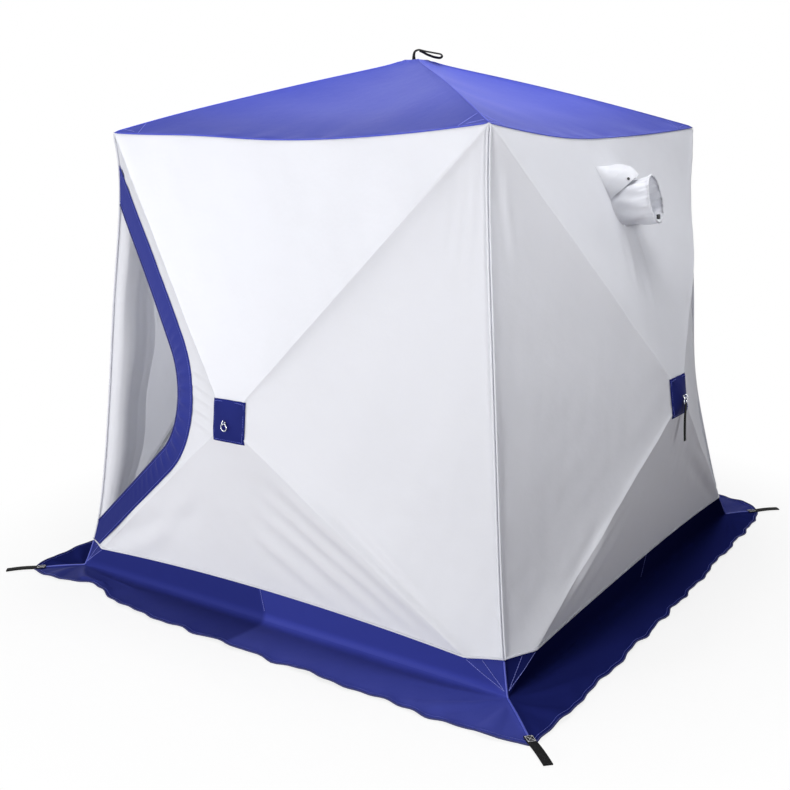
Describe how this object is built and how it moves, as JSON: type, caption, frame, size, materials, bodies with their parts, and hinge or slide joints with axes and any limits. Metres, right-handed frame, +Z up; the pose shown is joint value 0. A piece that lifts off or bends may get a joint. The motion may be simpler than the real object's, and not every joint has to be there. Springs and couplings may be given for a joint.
{
  "type": "pop-up ice fishing hut",
  "caption": "Square pop-up ice fishing shelter: cloth walls and roof sprung out by hubs and rods, with an open corner doorway, vent sleeve, foot band, snow skirt and stake loops.",
  "frame": {"origin": "on the ground, at the middle of the square plan", "axes": "+Z up, front wall with the doorway towards -Y, wall with the vent towards +X"},
  "size_m": [2.6328, 2.6328, 2.119],
  "materials": {
    "white_cloth": "coated plain weave",
    "blue_cloth": "coated plain weave",
    "black_webbing": "ribbed webbing",
    "black_plastic": "moulded, fine texture",
    "fibreglass": "pultruded rod",
    "steel_wire": "bright drawn wire"
  },
  "bodies": {
    "root": {"front_wall": "white_cloth", "right_wall": "white_cloth", "back_wall": "white_cloth", "left_wall": "white_cloth", "rolled_door": "white_cloth", "vent_sleeve": "white_cloth", "vent_hood": "white_cloth", "roof_front": "blue_cloth", "roof_right": "blue_cloth", "roof_back": "blue_cloth", "roof_left": "blue_cloth", "front_foot_band": "blue_cloth", "right_foot_band": "blue_cloth", "back_foot_band": "blue_cloth", "left_foot_band": "blue_cloth", "front_skirt": "blue_cloth", "right_skirt": "blue_cloth", "back_skirt": "blue_cloth", "left_skirt": "blue_cloth", "front_hub_patch": "blue_cloth", "right_hub_patch": "blue_cloth", "back_hub_patch": "blue_cloth", "left_hub_patch": "blue_cloth", "door_flap": "blue_cloth", "right_pull_strap": "black_webbing", "roof_loop": "black_webbing", "stake_strap_se": "black_webbing", "stake_strap_ne": "black_webbing", "stake_strap_nw": "black_webbing", "stake_strap_sw": "black_webbing", "front_hub": "black_plastic", "right_hub": "black_plastic", "back_hub": "black_plastic", "left_hub": "black_plastic", "roof_hub": "black_plastic", "vent_toggle": "black_plastic", "front_rods": "fibreglass", "right_rods": "fibreglass", "back_rods": "fibreglass", "left_rods": "fibreglass", "roof_rods": "fibreglass", "hub_eyes": "steel_wire", "pull_rings": "steel_wire"}
  },
  "joints": []
}
